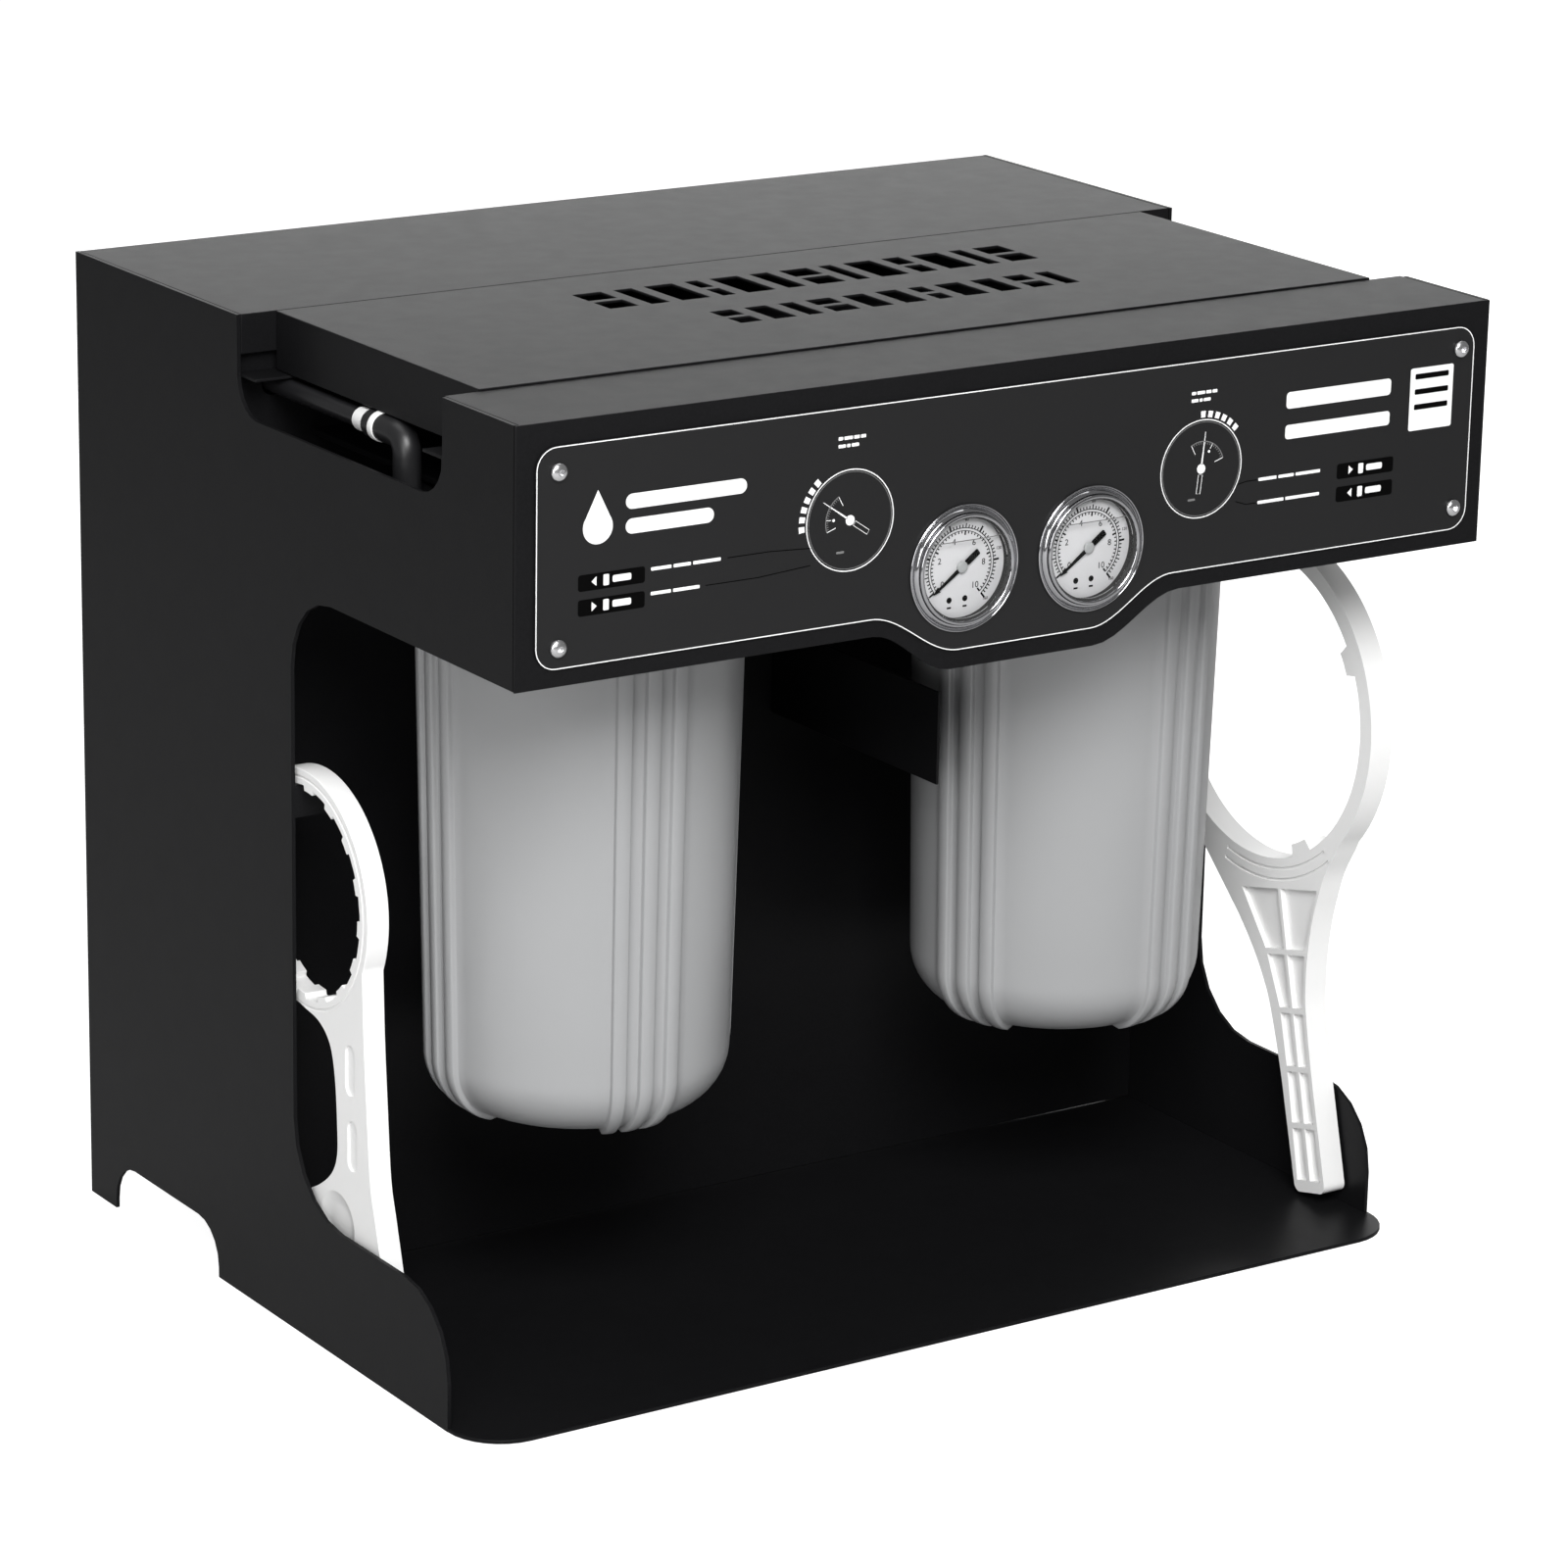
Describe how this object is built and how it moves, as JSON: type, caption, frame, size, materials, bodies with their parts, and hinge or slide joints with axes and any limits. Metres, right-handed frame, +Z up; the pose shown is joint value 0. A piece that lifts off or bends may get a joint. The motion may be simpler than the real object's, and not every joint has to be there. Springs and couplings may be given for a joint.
{
  "type": "reverse osmosis unit",
  "caption": "Black sheet-steel reverse osmosis unit: grey filter sumps hang in an open front bay under a header with pressure gauges, and membranes and a pump sit behind.",
  "frame": {"origin": "on the floor, under the middle of the unit's bounding box", "axes": "+Z up, +X towards the unit's right side seen from the front, front face towards -Y"},
  "size_m": [0.57, 0.4602, 0.5125],
  "materials": {
    "black_coat": "satin black powder coat on sheet steel",
    "grey_plate": "satin dark grey printed plate",
    "grey_plastic": "satin grey moulded plastic",
    "black_plastic": "satin black moulded plastic",
    "white_plastic": "satin white moulded plastic",
    "chrome": "polished plating",
    "steel": "bare stainless steel",
    "red_plastic": "gloss red moulded plastic",
    "rubber": "black seal rubber",
    "glass": "clear lens"
  },
  "bodies": {
    "cabinet": {"side_plate_left": "black_coat", "side_plate_right": "black_coat", "base_plate": "black_coat", "bulkhead_panel": "black_coat", "rear_floor_panel": "black_coat", "rear_top_panel": "black_coat", "back_panel": "black_coat", "cover_ledge_rear": "black_coat", "cover_ledge_front": "black_coat", "header_panel": "black_coat", "stay_bracket": "black_coat", "housing_bracket": "black_coat", "vessel_rack": "black_coat", "fan_cover": "black_coat", "fascia_plate": "grey_plate", "control_box": "grey_plastic", "filter_head_left": "black_plastic", "filter_head_right": "black_plastic", "inlet_port": "black_plastic", "permeate_port": "black_plastic", "drain_port": "black_plastic", "power_inlet": "black_plastic", "head_link_pipe": "black_plastic", "inlet_riser": "black_plastic", "inlet_hose": "black_plastic", "outlet_pipe": "black_plastic", "feed_manifold": "black_plastic", "pump_motor": "black_plastic", "solenoid_valve": "black_plastic", "pressure_switch": "black_plastic", "gauge_dial_left": "white_plastic", "gauge_dial_right": "white_plastic", "inlet_coupling": "white_plastic", "membrane_vessel_1": "white_plastic", "membrane_vessel_2": "white_plastic", "membrane_vessel_3": "white_plastic", "permeate_manifold": "white_plastic", "gauge_case_left": "chrome", "gauge_case_right": "chrome", "fascia_screw_1": "steel", "fascia_screw_2": "steel", "fascia_screw_3": "steel", "fascia_screw_4": "steel", "pump_head": "steel", "sump_seal_left": "rubber", "sump_seal_right": "rubber", "gauge_lens_left": "glass", "gauge_lens_right": "glass"},
    "cover": {"top_cover": "black_coat"},
    "carriage_left": {"cartridge_left": "white_plastic"},
    "carriage_right": {"cartridge_right": "white_plastic"},
    "sump_left": {"filter_sump_left": "grey_plastic"},
    "sump_right": {"filter_sump_right": "grey_plastic"},
    "button_left": {"relief_button_left": "red_plastic"},
    "button_right": {"relief_button_right": "red_plastic"},
    "pointer_left": {"gauge_pointer_left": "black_plastic"},
    "pointer_right": {"gauge_pointer_right": "black_plastic"},
    "small_wrench": {"wrench_small": "white_plastic"},
    "large_wrench": {"wrench_large": "white_plastic"},
    "fan": {"motor_fan": "white_plastic"}
  },
  "joints": [
    {"name": "top_cover_lift", "type": "slide", "parent": "cabinet", "child": "cover", "axis": [0, 0, 1], "range_m": [0, 0.15]},
    {"name": "sump_drop_left", "type": "slide", "parent": "cabinet", "child": "carriage_left", "axis": [0, 0, 1], "range_m": [-0.0125, 0]},
    {"name": "sump_turn_left", "type": "hinge", "parent": "carriage_left", "child": "sump_left", "pos_m": [-0.148, -0.05945, 0.411], "axis": [0, 0, 1], "range_deg": [-900, 0]},
    {"name": "relief_button_left_press", "type": "slide", "parent": "cabinet", "child": "button_left", "axis": [0, 0, -1], "range_m": [0, 0.0025], "stiffness_N_per_m": 300, "springref_m": -0.0012},
    {"name": "gauge_pointer_left_turn", "type": "hinge", "parent": "cabinet", "child": "pointer_left", "pos_m": [-0.0365, -0.22565, 0.4145], "axis": [0, 1, 0], "range_deg": [0, 270], "stiffness_Nm_per_rad": 0.0002, "springref_deg": -17.19},
    {"name": "sump_drop_right", "type": "slide", "parent": "cabinet", "child": "carriage_right", "axis": [0, 0, 1], "range_m": [-0.0125, 0]},
    {"name": "sump_turn_right", "type": "hinge", "parent": "carriage_right", "child": "sump_right", "pos_m": [0.148, -0.05945, 0.411], "axis": [0, 0, 1], "range_deg": [-900, 0]},
    {"name": "relief_button_right_press", "type": "slide", "parent": "cabinet", "child": "button_right", "axis": [0, 0, -1], "range_m": [0, 0.0025], "stiffness_N_per_m": 300, "springref_m": -0.0012},
    {"name": "gauge_pointer_right_turn", "type": "hinge", "parent": "cabinet", "child": "pointer_right", "pos_m": [0.0385, -0.22565, 0.4145], "axis": [0, 1, 0], "range_deg": [0, 270], "stiffness_Nm_per_rad": 0.0002, "springref_deg": -17.19},
    {"name": "wrench_small_swing", "type": "hinge", "parent": "cabinet", "child": "small_wrench", "pos_m": [-0.275, -0.01085, 0.287], "axis": [1, 0, 0], "range_deg": [-14, 0]},
    {"name": "wrench_large_swing", "type": "hinge", "parent": "cabinet", "child": "large_wrench", "pos_m": [0.2745, -0.01085, 0.3193], "axis": [1, 0, 0], "range_deg": [-12, 0]},
    {"name": "motor_fan_spin", "type": "hinge", "parent": "cabinet", "child": "fan", "pos_m": [0.2513, 0.12815, 0.105], "axis": [1, 0, 0], "continuous": true}
  ],
  "couplings": [
    {"joint": "sump_drop_left", "follows": "sump_turn_left", "m_per_rad": 0.00079577},
    {"joint": "sump_drop_right", "follows": "sump_turn_right", "m_per_rad": 0.00079577}
  ]
}
